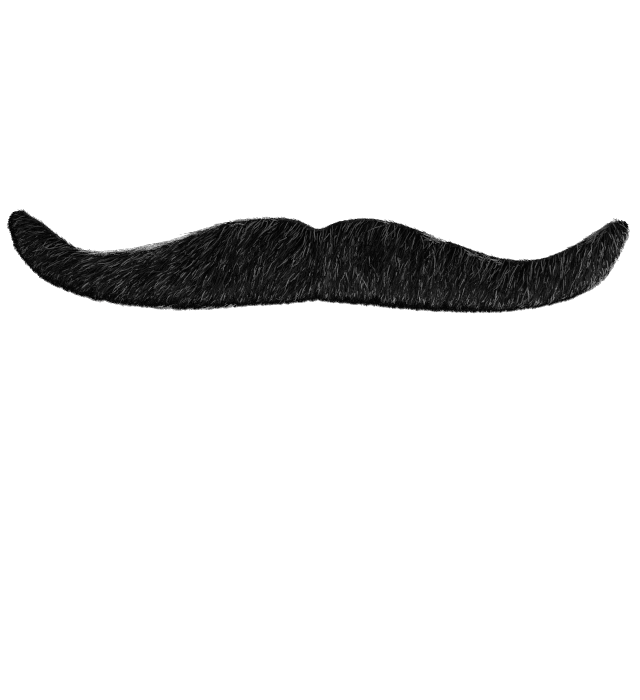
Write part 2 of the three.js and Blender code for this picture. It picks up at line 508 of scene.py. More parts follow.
UNDERFUR = Strands(
    name="underfur", seed=11, density=10.0, spacing=0.2, length=7.0, length_spread=0.25, radius=0.13,
    lowest=0.1, highest=0.85, comb_spread=7, stray_share=0.05, stray_turn=10, bend=0.1, wave=0.12,
    lock_size=2.6, gather=0.22, lock_turn=6, fuzz=0.45, bevel=0.3, shade_power=9, loose=0.6,
)
GUARD_HAIR = Strands(
    name="guard_hair", seed=23, density=8.0, spacing=0.26, segments=4, length=9.0, length_spread=0.3,
    radius=0.095, lowest=0.6, highest=1.15, comb_spread=7, stray_share=0.08, stray_turn=35, bend=0.14,
    wave=0.2, lock_size=3.0, gather=0.08, lock_turn=4, arch=0.4, fuzz=0.4, bevel=1.7, shade_power=3,
    tip_light=0.15, crimp=0.2, loose=0.12,
)
# Glint hair: its pale colour is partly painted highlight, for glints on the dark pile, and partly paler
# fibres.
GLINT_HAIR = Strands(
    name="glint_hair", seed=53, density=8.0, spacing=0.75, segments=5, length=4.0, radius=0.086,
    lowest=0.75, highest=1.15, comb_spread=6, stray_share=0.05, stray_turn=32, bend=0.12, wave=0.26,
    lock_size=3.4, gather=0.06, lock_turn=4, arch=0.5, fuzz=0.4, bevel=1.7, shade_power=1.5,
    tip_light=0.8, crimp=0.35, loose=0.12,
)
EDGE_LINT = Strands(
    name="edge_lint", seed=37, density=28.0, length=2.3, radius=0.03, lowest=0.3, highest=1.3,
    comb_spread=3, stray_share=0.0, stray_turn=40, bend=0.12, lock_size=1.2, gather=0.2, lock_turn=3,
    shade_power=1, loose=0.35,
)
EDGE_FUZZ = Strands(
    name="edge_fuzz", seed=71, density=40.0, length=1.3, radius=0.03, lowest=0.0, highest=1.0,
    comb_spread=10, stray_share=0.2, stray_turn=60, bend=0.4, lock_size=1.0, gather=0.1, lock_turn=20,
    shade_power=2, loose=0.75,
)


class StrandTree(Graph):
    """The node tree that grows strands from a bed: it sows roots, then lays and draws each strand."""

    WHOLE_NUMBERS = ("Seed", "Segments")
    SIDES = 3
    LEVEL = (1.0, 1.0, 0.0)  # what of a vector is kept to make it level
    UP = (0.0, 0.0, 1.0)
    SHORTEST = 0.5 * MM
    STUB = 1.0 * MM  # strands that are cut shorter stay dark
    WAVE_TURNS = 5.0  # radians from root to tip
    CRIMP_TURNS = 10.0
    GIRTH_SPREAD = 0.3
    TIP_TAPER = 0.82  # how much of the thickness is gone at the tip
    TUFT_SCALE = 1 / (1.6 * MM)  # of the unevenness along the cut edge
    TUFT_SHARE = 2.0  # how uneven tufts are, against single strands
    TUFT_BEVEL = -1.8  # how much less the top layer is cut short in a tuft
    PATCH_SCALE = 1 / (4.5 * MM)  # of darker and lighter places
    PATCH_NOISE = (0.35, 0.65)  # the noise in the darkest and the lightest of them
    PATCH_LIGHT = (0.94, 1.03)  # and how light the hair is there
    STEEPNESS = 3.0  # how soon a strand reaches its layer
    ARCH_PEAK = 4.0  # makes an arch as high as it should be in its middle
    DROOP = 0.9 * MM  # how far below the cloth's top a strand may hang
    ROW_MARGIN = 0.02  # of the colour map, at roots and tips
    COLUMN_MARGIN = 0.2  # and beside each shade, in columns
    COLUMN_STEP = 0.3  # from one side of a strand to the next

    def __init__(self) -> None:
        """Builds the tree."""
        inputs = {"Geometry": GEOMETRY, **dict.fromkeys(GUARD_HAIR.inputs(), FLOAT)}
        inputs |= dict.fromkeys(self.WHOLE_NUMBERS, "NodeSocketInt")
        inputs["Material"] = "NodeSocketMaterial"
        tree = bpy.data.node_groups.new("strands", "GeometryNodeTree")
        super().__init__(tree, inputs, {"Geometry": GEOMETRY})
        self.draws = 0
        self._draw(self._lay(self._sow()))

    def identifiers(self) -> dict[str, str]:
        """Each input's identifier, by its name."""
        items = self.tree.interface.items_tree
        return {item.name: item.identifier for item in items if item.in_out == "INPUT"}

    def _chance(self) -> Value:
        """A number from 0 to 1 for each root, another one at each call."""
        self.draws += 1
        seed = self.inlet("Seed") + float(self.draws)
        return self.out("FunctionNodeRandomValue", {"Seed": seed}, "Value", data_type="FLOAT")

    def _read(self, name: str) -> Value:
        """A number that is kept under a name at each point."""
        feeds = {"Name": name}
        return self.out("GeometryNodeInputNamedAttribute", feeds, "Attribute", data_type="FLOAT")

    def _keep(
        self, geometry: Value, name: str, value: Value, kind: str = "FLOAT", on: str = "POINT"
    ) -> Value:
        """The geometry with a value of a kind, which may change from point to point, under a name."""
        feeds = {"Geometry": geometry, "Name": name, "Value": value}
        return self.out("GeometryNodeStoreNamedAttribute", feeds, data_type=kind, domain=on)

    def _sow(self) -> dict[str, Value]:
        """Scatters the roots, and settles what each strand needs to know.

        Returns:
            The roots as Geometry, and their values by name.
        """
        inlet = self.inlet
        feeds = {
            "Mesh": inlet("Geometry"),
            "Distance Min": inlet("Spacing"),
            "Density Max": inlet("Density"),
            "Density Factor": self._read("sown"),
            "Seed": inlet("Seed"),
        }
        sowing = self.node("GeometryNodeDistributePointsOnFaces", feeds, distribute_method="POISSON")
        roots = self.outputs(sowing)["Points"]
        place = self.out("GeometryNodeInputPosition")
        feeds = {"Vector": place, "Scale": inlet("Lock Scale")}
        lock = self.outputs(self.node("ShaderNodeTexVoronoi", feeds, voronoi_dimensions="2D", feature="F1"))
        angle = self._angle(self.out("FunctionNodeSeparateColor", {0: lock["Color"]}))
        heading = self.joined(self.math("COSINE", angle), self.math("SINE", angle))
        apart = self.vector("MULTIPLY", lock["Position"] - place, self.LEVEL)
        layer = self._chance() * (inlet("Highest") - inlet("Lowest")) + inlet("Lowest")
        own, cut = self._lengths(place, heading, layer)
        values = {
            "root": place,
            "heading": heading,
            "pull": apart * inlet("Gather"),
            "layer": layer,
            "span": self.math("MAXIMUM", self.math("MINIMUM", own, cut), self.SHORTEST),
            "bend": self.either_way(self._chance()) * inlet("Bend"),
            "phase": self._chance() * math.tau,
            "arch": self._chance() * inlet("Arch"),
            "girth": self.spread(inlet("Radius"), self.GIRTH_SPREAD, self._chance()),
            "shade": self._shade(place, own, cut),
        }
        held = self.node("GeometryNodeCaptureAttribute", {"Geometry": roots}, domain="POINT")
        for name, value in values.items():
            held.capture_items.new("VECTOR" if value.is_vector else "FLOAT", name)
            self.feed(held, name, value)
        return self.outputs(held)

    def _angle(self, lock_chance: Value) -> Value:
        """The way that each strand lies: the comb, with its own stray and its lock's.

        Args:
            lock_chance: A number from 0 to 1 for each lock.

        Returns:
            The angle from +X, in radians.
        """
        inlet = self.inlet
        three = self._chance() + self._chance() + self._chance()  # most often near its middle
        turn = (three * 2.0 - 3.0) * inlet("Comb Spread")
        is_stray = self._chance() < inlet("Stray Share") + self._read("unruly")
        astray = self.either_way(self._chance()) * inlet("Stray Turn")
        own = self.either_way(lock_chance) * inlet("Lock Turn") + (astray * is_stray + turn)
        return self._read("comb") + own

    def _lengths(self, place: Value, heading: Value, layer: Value) -> tuple[Value, Value]:
        """How long each strand would grow, and how far it is to where the cut ends it.

        Args:
            place: The root.
            heading: The way that the strand lies.
            layer: Its layer in the pile, as a share.

        Returns:
            The two lengths in metres.
        """
        inlet = self.inlet
        own = self.spread(inlet("Length"), inlet("Length Spread"), self._chance())
        room = self._read("room")
        tuft = self.either_way(self.noise(place + heading * room, self.TUFT_SCALE))
        uneven = tuft * self.TUFT_SHARE + self.either_way(self._chance())
        ragged = uneven * inlet("Fuzz") * self._read("ragged")
        bevel = inlet("Bevel") * layer * self._read("bevel") * (tuft * self.TUFT_BEVEL + 1.0)
        return own, room + ragged - bevel

    def _shade(self, place: Value, own_length: Value, cut: Value) -> Value:
        """Each strand's step from the darkest shade, 0, to the palest, with painted highlight and shade by
        place and a painted highlight on tips at the cut. Stubs are dark.

        Args:
            place: The root.
            own_length: How long the strand would grow.
            cut: How far it is to where the cut ends it.

        Returns:
            The steps.
        """
        inlet = self.inlet
        lit = self.ramp(self.noise(place, self.PATCH_SCALE), self.PATCH_NOISE, self.PATCH_LIGHT)
        # Painted highlight and shade by place, from the sheen kept at the bed; for lint it is the lint's
        # own paleness.
        light = lit * self._read("sheen")
        own = self._chance() ** inlet("Shade Power") * light
        is_cut = cut < own_length
        # Painted highlight: hairs that end at the cut are drawn paler, as glinting tips.
        tip = self._chance() * inlet("Tip Light") * is_cut * self._read("bevel") * light
        paler = self._chance() * self._read("pale") + (own + tip)
        level = self.out("ShaderNodeClamp", {"Value": paler})
        return self.math("ROUND", level * (cut > self.STUB) * (SHADES - 1.0))

    def _lay(self, held: Mapping[str, Value]) -> Value:
        """Puts a strand on each root, and lays it along its heading on the pile below.

        Args:
            held: The roots as Geometry, and their values by name.

        Returns:
            The strands, as curves.
        """
        inlet = self.inlet
        line = self.out("GeometryNodeCurvePrimitiveLine", {"Start": (0.0, 0.0, 0.0), "End": (0.0, 0.0, MM)})
        feeds = {"Curve": line, "Count": inlet("Segments") + 1.0}
        strand = self.out("GeometryNodeResampleCurve", feeds, mode="COUNT")
        feeds = {"Points": held["Geometry"], "Instance": strand}
        copies = self.out("GeometryNodeInstanceOnPoints", feeds)
        strands = self.out("GeometryNodeRealizeInstances", {"Geometry": copies})
        along = self.out("GeometryNodeSplineParameter", key="Factor")
        flat = self._tamed(self._flat(held, along))
        feeds = {"Mesh": inlet("Geometry"), "Value": self._read("pile"), "Sample Position": flat}
        pile = self.out("GeometryNodeSampleNearestSurface", feeds, data_type="FLOAT")
        left = 1.0 - along
        height = pile * held["layer"] * (1.0 - left ** self.STEEPNESS)
        arch = along * left * held["arch"]
        ripple = self.math("SINE", along * self.CRIMP_TURNS + held["phase"])
        raised = arch * self.ARCH_PEAK + height + ripple * inlet("Crimp") * along
        lift = self.joined(0.0, 0.0, self.math("MAXIMUM", raised, -self.DROOP))
        laid = self.out("GeometryNodeSetPosition", {"Geometry": strands, "Position": flat + lift})
        shade = held["shade"]
        kept = {"along": along, "tone": shade / (SHADES - 1.0), "shade": shade, "girth": held["girth"]}
        for name, value in kept.items():
            laid = self._keep(laid, name, value)
        return laid

    def _flat(self, held: Mapping[str, Value], along: Value) -> Value:
        """Where a strand's points lie as seen from above, at the cloth's own height.

        Args:
            held: The values that each strand knows.
            along: The share of the way from root to tip.

        Returns:
            The places.
        """
        span = held["span"]
        heading = held["heading"]
        ripple = self.math("SINE", along * self.WAVE_TURNS + held["phase"])
        sway = (ripple * self.inlet("Wave") + span * held["bend"] * along) * along
        aside = self.vector("CROSS_PRODUCT", self.UP, heading)
        return held["root"] + heading * (span * along) + (aside * sway + held["pull"] * along)

    def _tamed(self, flat: Value) -> Value:
        """Draws what hangs over the edge back towards it, as hands that smooth the fur do.

        Args:
            flat: Where the strands' points lie as seen from above.

        Returns:
            The places.
        """
        feeds = {"Geometry": self.inlet("Geometry"), "Sample Position": flat}
        edge = self.out("GeometryNodeProximity", feeds, "Position", target_element="FACES")
        return edge + (flat - edge) * self.inlet("Loose")

    def _draw(self, strands: Value) -> None:
        """Draws each strand as a thin closed tube with its colour map, its smooth sides and its finish.

        Args:
            strands: The strands, as curves.
        """
        feeds = {"Resolution": self.SIDES, "Radius": 1.0}
        ring = self.out("GeometryNodeCurvePrimitiveCircle", feeds, mode="RADIUS")
        ring = self._keep(ring, "side", self.out("GeometryNodeInputIndex"))
        along = self._read("along")
        girth = self._read("girth") * (along * along * -self.TIP_TAPER + 1.0)
        feeds = {"Curve": strands, "Profile Curve": ring, "Scale": girth, "Fill Caps": True}
        drawn = self.out("GeometryNodeCurveToMesh", feeds)
        column = self._read("side") * self.COLUMN_STEP + (self._read("shade") + self.COLUMN_MARGIN)
        row = along * (1 - 2 * self.ROW_MARGIN) + self.ROW_MARGIN
        drawn = self._keep(drawn, "OFBake", self.joined(column / float(SHADES), row), "FLOAT2", "CORNER")
        for name in ("side", "shade", "girth"):
            drawn = self.out("GeometryNodeRemoveAttribute", {"Geometry": drawn, "Name": name})
        smooth = self.out("GeometryNodeSetShadeSmooth", {"Geometry": drawn})
        feeds = {"Geometry": smooth, "Material": self.inlet("Material")}
        self.node("NodeGroupOutput", {"Geometry": self.out("GeometryNodeSetMaterial", feeds)})


def new_object(name: str, points: np.ndarray, faces: Sequence[Sequence[int]]) -> bpy.types.Object:
    """A mesh object in the scene.

    Args:
        name: The object's name.
        points: Its points, in mm.
        faces: The points of each face, anticlockwise as seen from outside.

    Returns:
        The object, at the origin.
    """
    mesh = bpy.data.meshes.new(name)
    mesh.from_pydata((np.asarray(points, float) * MM).tolist(), [], faces)
    mesh.update()
    made = bpy.data.objects.new(name, mesh)
    bpy.context.scene.collection.objects.link(made)
    return made


def grid_faces(rows: int, columns: int) -> list[tuple[int, int, int, int]]:
    """The faces of a grid of points, which face up where its rows run to +X and its columns to +Y."""
    corners = [row * columns + column for row in range(rows - 1) for column in range(columns - 1)]
    return [(corner, corner + columns, corner + columns + 1, corner + 1) for corner in corners]


@dataclass(frozen=True)
class Thinning:
    """A stretch of an edge where the pile is thin, with pale lint in it. Places are in mm along X."""

    start: float
    end: float
    amount: float  # how thin the pile is, from 0 to 1
    fade: float  # over what length the ends fade
    lint: float  # how densely lint is sown, as a share
    light: float = 1.0  # how pale the lint is
    inset: float = 0.0  # how far inside the edge the lint lies

    def at(self, x: float) -> float:
        """How far inside the stretch a place is, from 0 to 1, fading over its ends."""
        return clamped(min(x - self.start, self.end - x) / self.fade)


@dataclass(frozen=True)
class WornEdges:
    """Where the edges of the fur are thin."""

    upper: tuple[Thinning, ...] = (
        Thinning(-65.3, -63.7, 0.3, 0.8, 0.15),
        Thinning(-58.5, -24, 1.0, 7, 0.9),
        Thinning(-30, -8, 0.2, 5, 0.06),
        Thinning(16, 18.5, 0.3, 1, 0.15),
        Thinning(28, 33, 0.7, 2, 0.5, light=0.8),
        Thinning(38.6, 40.8, 0.2, 0.8, 0.45, light=0.5, inset=0.6),
        Thinning(41.8, 43.4, 0.15, 0.6, 0.3, light=0.5, inset=0.7),
        Thinning(44.6, 46.2, 0.15, 0.6, 0.35, light=0.5, inset=0.5),
        Thinning(49.4, 51, 0.1, 0.6, 0.2, light=0.5, inset=0.5),
        Thinning(66.5, 73.5, 0.4, 3, 0.6, light=0.2),
        Thinning(74.8, 82, 0.6, 1, 0.25, light=0.6, inset=0.3),
    )
    lower: tuple[Thinning, ...] = (
        Thinning(-39, -34.5, 0.4, 1.5, 0.22),
        Thinning(-28, -25, 0.3, 1, 0.18),
        Thinning(-22, -19.5, 0.3, 1, 0.18),
        Thinning(66, 75.5, 0.3, 3, 0.35, inset=0.5),
        Thinning(73, 82, 0.8, 2, 0.3, light=0.7, inset=0.5),
    )

    def along(self, edge: Edge) -> tuple[Thinning, ...]:
        """The thin stretches of an edge."""
        return self.upper if edge is Edge.UPPER else self.lower

    def thinness(self, edge: Edge, x: float) -> float:
        """How thin the pile is at an edge, at a place along X."""
        return max(stretch.amount * stretch.at(x) for stretch in self.along(edge))

    def lintiest(self, edge: Edge, x: float) -> Thinning:
        """The stretch of an edge that has the most lint at a place along X."""
        return max(self.along(edge), key=lambda stretch: stretch.lint * stretch.at(x))

    def near(self, spot: Spot, reach: float) -> float:
        """How thin the pile is at a spot, where thinness fades over a reach from each edge inwards."""
        x = spot.place[0]
        return max(self.thinness(edge, x) * max(0.0, 1 - spot.depth(edge) / reach) for edge in Edge)


@dataclass(frozen=True)
class ShadedCleft:
    """A furrow in the fur, drawn only as painted shade: the hair there is darkened, with no dip in the
    pile. Places are in mm.
    """

    x: float
    y: float
    half_width: float
    half_height: float
    steepness: float = 2.0  # how soon the painted shade deepens from its edge inwards

    def at(self, x: float, y: float) -> float:
        """How deep the furrow's painted shade is at a place, from 0 to 1."""
        reach = math.hypot((x - self.x) / self.half_width, (y - self.y) / self.half_height)
        return clamped(self.steepness * (1 - reach))


@dataclass
class Fur:
    """What all hair of the moustache shares: where and how high it grows, and by which tree. In mm."""

    outline: Outline
    worn: WornEdges
    tree: StrandTree
    cloth_top: float = 1.8
    pile_height: float = 3.7
    full_half: float = 8.0  # narrower sections have a lower pile
    profile: tuple[Row, ...] = (  # the pile's height by the share across, as a share
        (-1.0, -0.16), (-0.95, 0.16), (-0.84, 0.66), (-0.5, 0.94),
        (0.05, 1.0), (0.5, 0.92), (0.82, 0.62), (1.0, 0.12),
    )

    def pile(self, spot: Spot) -> float:
        """The pile's height over the cloth."""
        full = min(1.0, spot.at.half / self.full_half)
        return self.pile_height * math.sqrt(full) * read_table(self.profile, spot.share)

    def sheet(self, shares: Sequence[Sequence[float]]) -> tuple[bpy.types.Object, list[Spot]]:
        """A flat sheet over the whole outline, for roots.

        Args:
            shares: The shares across each station, from the lower edge up.

        Returns:
            The sheet, and the spots of its points.
        """
        stations = self.outline.stations()
        spots = [Spot(at, share) for at, row in zip(stations, shares) for share in row]
        points = np.array([[*spot.place, self.cloth_top] for spot in spots])
        return new_object("bed", points, grid_faces(len(stations), len(shares[0]))), spots

    def grow(self, bed: bpy.types.Object, kind: Strands, name: str) -> bpy.types.Object:
        """Grows one kind of hair on a bed.

        Args:
            bed: The bed, which is used up.
            kind: The kind of hair.
            name: The piece's name.

        Returns:
            The hair, as a plain mesh object.
        """
        modifier = bed.modifiers.new("strands", "NODES")
        modifier.node_group = self.tree.tree
        identifiers = self.tree.identifiers()
        for label, value in kind.inputs().items():
            modifier[identifiers[label]] = value
        modifier[identifiers["Material"]] = bpy.data.materials[kind.name]
        depsgraph = bpy.context.evaluated_depsgraph_get()
        mesh = bpy.data.meshes.new_from_object(bed.evaluated_get(depsgraph), depsgraph=depsgraph)
        mesh.name = name
        made = bpy.data.objects.new(name, mesh)
        bpy.context.scene.collection.objects.link(made)
        bpy.data.objects.remove(bed)
        return made


def keep_numbers(bed: bpy.types.Object, values: Mapping[str, Sequence[float] | float]) -> None:
    """Keeps numbers at a bed's points.

    Args:
        bed: The bed.
        values: The numbers of its points, or one for all of them, by the name to keep them under.
    """
    for name, numbers in values.items():
        kept = bed.data.attributes.new(name, "FLOAT", "POINT").data
        kept.foreach_set("value", np.full(len(kept), numbers, np.float32))


@dataclass
class CombedPile(Fur):
    """The pile itself: a dense underfur, longer guard hair over it, and single paler hairs on top, whose
    pale colour is partly painted highlight standing in for glints on glossy fibres.
    """

    rim: float = 0.5  # from the cut edge to the first roots
    widest_rim: float = 0.5  # of a narrow end, as a share of its half height
    columns: int = 17
    middle_digits: int = 3  # to which X is rounded, to tell the bridge's middle
    edge_sowing: float = 0.6  # in the cut edge, as a share
    thin_reach: float = 1.9
    thin_loss: float = 0.95  # of the roots where an edge is thinnest, as a share
    thin_pale: float = 0.3  # how much paler the hair is there
    thin_pale_reach: float = 3.8
    tip_start: float = 64.0  # along X, where the tips begin
    tip_length: float = 10.0
    tip_trim: float = 1.4
    pale_tip: float = 1.0  # how much paler the lower half of the right tip gets
    pale_share: float = 0.5  # how far below the middle it is palest, as a share across
    # The cleft is painted shade: hair in it is darkened.
    clefts: tuple[ShadedCleft, ...] = (ShadedCleft(15.2, 5.0, 2.2, 6.5),)
    rags: tuple[Row, ...] = (  # how ragged the cut is along X, as a factor
        (-74, 0.2), (-66, 1.0), (-59, 1.8), (-32, 1.8), (-22, 1.0), (64, 1.0), (74, 2.4),
    )
    bevels: tuple[Row, ...] = (  # how far short the top hair is cut along X, as a factor
        (-75, 0.2), (-66, 0.45), (-56, 1.2), (-38, 1.4), (-26, 0.9), (-20, 0.6), (-14, 0.4),
        (0, 0.5), (9, 0.75), (20, 0.9), (34, 0.9), (45, 0.6), (60, 0.35),
    )
    lie: tuple[AcrossRow, ...] = (  # how far the hair is turned from the sections' comb, in degrees
        (-78, 4, -10, 32), (-66, 14, -14, 34), (-54, 13, -11, 31), (-46, 5, -7, 19),
        (-35, 5, -11, 9), (-29, 4, -22, -12), (-23, 8, -20, 10), (-19, 6, -2, 8),
        (-14, 10, -20, 16), (-9, 6, -4, -2), (-5, -12, 0, -10), (0, -4, 0, 0),
        (5, 5, -9, 13), (10, 6, -30, -6), (17, -3, -11, 7), (32, 7, -1, 1),
        (44, -4, -16, 4), (53, 8, -12, -24), (62, -6, 8, -10), (70, 8, -14, 28),
        (74, 16, -8, 40), (77, 52, 48, 66),
    )
    sheen: tuple[AcrossRow, ...] = (  # painted highlight and shade by place: how light the hair is drawn, as a factor
        (-78, 0.5, 0.3, 0.4), (-58, 0.55, 0.3, 0.1), (-50, 0.9, 0.4, 0.0), (-38, 0.9, 0.4, 0.0),
        (-28, 0.85, 0.35, 0.45), (-8, 0.75, 0.4, 0.75), (3, 1.15, 0.6, 1.05), (9, 0.84, 0.45, 1.0),
        (38, 0.95, 0.35, 1.15), (48, 0.9, 0.3, 1.0), (56, 0.85, 0.3, 0.95), (62, 1.05, 0.4, 1.25),
        (68, 1.25, 0.5, 2.0), (74, 1.0, 0.35, 1.8), (77, 1.0, 0.8, 1.4),
    )
    unruly: tuple[AcrossRow, ...] = (  # the share of the hair that strays from the comb
        (-77, 0, 0, 0), (-72, 0.1, 0.5, 0.1), (-58, 0.1, 0.5, 0.1), (-54, 0, 0.05, 0),
        (11, 0, 0.05, 0), (15, 0, 0.2, 0), (21, 0, 0.1, 0), (28, 0, 0.25, 0),
        (51, 0, 0.25, 0), (55, 0, 0.05, 0), (64, 0, 0.05, 0.05), (74, 0.4, 0.4, 0.5),
    )

    def build(self) -> list[bpy.types.Object]:
        """Grows the three kinds of hair on both wings."""
        kinds = [(kind, wing) for kind in (UNDERFUR, GUARD_HAIR, GLINT_HAIR) for wing in Wing]
        return [self.grow(self.bed(wing), kind, f"{kind.name}_{wing.name.lower()}") for kind, wing in kinds]

    def bed(self, wing: Wing) -> bpy.types.Object:
        """A bed over the whole outline that is sown on one wing only.

        Args:
            wing: The wing.

        Returns:
            The bed, with all that the strand tree reads at its points.
        """
        shares = []
        for at in self.outline.stations():
            inner = 1 - min(self.rim / at.half, self.widest_rim)
            shares.append([-1.0, *np.linspace(-inner, inner, self.columns), 1.0])
        bed, spots = self.sheet(shares)
        points = np.array([spot.place for spot in spots])
        combs = np.radians([self.comb(spot) for spot in spots])
        headings = np.stack([np.cos(combs), np.sin(combs)], axis=1)
        trims = np.array([self.tip_trim * self.into_tip(abs(x)) for x in points[:, 0]])
        keep_numbers(bed, {
            "comb": combs,
            "room": (self.outline.room(points, headings) - trims) * MM,
            "pile": [self.pile(spot) * MM for spot in spots],
            "sown": [self.fullness(spot, wing) for spot in spots],
            "pale": [self.paleness(spot) for spot in spots],
            "sheen": [self.glow(spot) for spot in spots],
            "ragged": [read_table(self.rags, x) for x in points[:, 0]],
            "bevel": [read_table(self.bevels, x) for x in points[:, 0]],
            "unruly": [read_across(self.unruly, spot.place[0], spot.share) for spot in spots],
        })
        return bed

    def comb(self, spot: Spot) -> float:
        """The way that the hair lies, in degrees from +X."""
        return spot.at.comb + read_across(self.lie, spot.at.middle[0], spot.share)

    def into_tip(self, distance: float) -> float:
        """How far into a tip a distance along X from the bridge is, from 0 to 1."""
        return clamped((distance - self.tip_start) / self.tip_length)

    def fullness(self, spot: Spot, wing: Wing) -> float:
        """How densely a wing's hair is sown: less in the edges, least where they are thin.

        Args:
            spot: The place.
            wing: The wing.

        Returns:
            The density, as a share of the most.
        """
        x = spot.at.middle[0]
        on_wing = (1 + wing.value * np.sign(round(x, self.middle_digits))) / 2
        thin = self.worn.near(spot, self.thin_reach)
        rim = self.edge_sowing * (1 - self.into_tip(abs(x)))
        return (rim if abs(spot.share) == 1.0 else 1.0) * (1 - self.thin_loss * thin) * on_wing

    def paleness(self, spot: Spot) -> float:
        """How much paler the hair is, at most: in thin edges, and in the lower half of the right tip."""
        in_tip = self.into_tip(spot.place[0]) * clamped(-spot.share / self.pale_share)
        return self.thin_pale * self.worn.near(spot, self.thin_pale_reach) + self.pale_tip * in_tip

    def glow(self, spot: Spot) -> float:
        """Painted highlight and shade on the hair, as a factor: how light it is drawn by place, and not at
        all in a cleft's painted shade.
        """
        # Painted shade: a cleft takes the hair's lightness away.
        dark = max(cleft.at(*spot.place) for cleft in self.clefts)
        return (1 - dark) * read_across(self.sheen, spot.place[0], spot.share)


@dataclass
class EdgeFringe(Fur):
    """The fine fibres of the edges: dark fuzz along the upper one, and pale lint where pile is thin."""

    depths: tuple[float, ...] = (0.0, 0.4, 0.8, 1.2, 1.6, 2.4, 3.2)  # of the bed inside each edge
    narrow_share: float = 0.9  # of a narrow end's half height that the bed takes up
    upper_lint: tuple[float, float] = (0.3, 1.7)  # from where to where inside the edge it thins out
    lower_lint: tuple[float, float] = (0.4, 1.6)
    lint_lean: tuple[float, float] = (28.0, 3.0)  # at the lower and the upper edge
    fuzz_lean: tuple[float, float] = (20.0, 20.0)
    fuzz_depth: float = 0.4
    right_fuzz: float = 0.9  # on the right wing, as a share
    upper_pile: float = 0.9
    hang: tuple[Row, ...] = ((0.0, -0.7), (0.4, 0.2), (0.8, 0.9))  # by the depth
    room: float = 3.0

    def build(self) -> list[bpy.types.Object]:
        """Grows the lint and the fuzz."""
        return [self.grow(self.bed(kind), kind, kind.name) for kind in (EDGE_LINT, EDGE_FUZZ)]

    def bed(self, kind: Strands) -> bpy.types.Object:
        """The bed of one kind of fringe.

        Args:
            kind: The kind.

        Returns:
            The bed, with all that the strand tree reads at its points.
        """
        shares = []
        for at in self.outline.stations():
            scale = min(1.0, self.narrow_share * at.half / self.depths[-1]) / at.half
            upper = [1 - scale * depth for depth in self.depths]
            shares.append([*(-share for share in upper), *reversed(upper)])
        bed, spots = self.sheet(shares)
        is_fuzz = kind is EDGE_FUZZ
        sown = self.fuzz if is_fuzz else self.lint
        height = self.fuzz_height if is_fuzz else self.lint_height
        keep_numbers(bed, {
            "comb": self.ways(self.fuzz_lean if is_fuzz else self.lint_lean),
            "room": self.room * MM,
            "pile": [height(spot) * MM for spot in spots],
            "sown": [sown(spot) for spot in spots],
            # For lint the sheen is its own paleness, not painted light; the fuzz keeps a plain 1.
            "sheen": 1.0 if is_fuzz else [self.lint_source(spot).light for spot in spots],
            "ragged": 1.0,
            **dict.fromkeys(("pale", "bevel", "unruly"), 0.0),
        })
        return bed

    def ways(self, leans: tuple[float, float]) -> np.ndarray:
        """The fibres' way at each of a bed's points: to the left along the nearer edge, leaning out.

        Args:
            leans: How far they lean out at the lower and the upper edge, in degrees.

        Returns:
            The angles from +X, in radians.
        """
        stations = self.outline.stations()
        angles = []
        for edge, lean in zip((Edge.LOWER, Edge.UPPER), np.radians(leans)):
            back = -np.gradient(np.array([at.across(edge.value) for at in stations]), axis=0)
            along = np.unwrap(np.arctan2(back[:, 1], back[:, 0])) - edge.value * lean
            angles.append(np.repeat(along[:, None], len(self.depths), axis=1))
        return np.hstack(angles).ravel()

    def lint_source(self, spot: Spot) -> Thinning:
        """The thin stretch that the lint at a spot belongs to."""
        return self.worn.lintiest(spot.edge, spot.place[0])

    def lint_height(self, spot: Spot) -> float:
        """How high lint lies: low in the upper edge itself, and elsewhere on top of the pile."""
        is_low = spot.edge is Edge.UPPER and not self.lint_source(spot).inset
        return self.upper_pile if is_low else max(self.upper_pile, self.pile(spot))

    def fuzz_height(self, spot: Spot) -> float:
        """How high fuzz lies: it hangs over the cut edge of the cloth."""
        return read_table(self.hang, spot.depth(Edge.UPPER))

    def lint(self, spot: Spot) -> float:
        """How densely lint is sown at a spot.

        Args:
            spot: The place.

        Returns:
            The density, as a share of the most.
        """
        stretch = self.lint_source(spot)
        outer, inner = self.upper_lint if spot.edge is Edge.UPPER else self.lower_lint
        depth = spot.depth(spot.edge) - stretch.inset
        if depth < 0:
            return 0.0
        return stretch.lint * stretch.at(spot.place[0]) * clamped(1 - (depth - outer) / (inner - outer))

    def fuzz(self, spot: Spot) -> float:
        """How densely fuzz is sown at a spot.

        Args:
            spot: The place.

        Returns:
            The density, as a share of the most.
        """
        if spot.depth(Edge.UPPER) > self.fuzz_depth:
            return 0.0
        full = 1.0 if spot.at.middle[0] < 0 else self.right_fuzz
        return full * (1 - self.worn.thinness(Edge.UPPER, spot.place[0]))


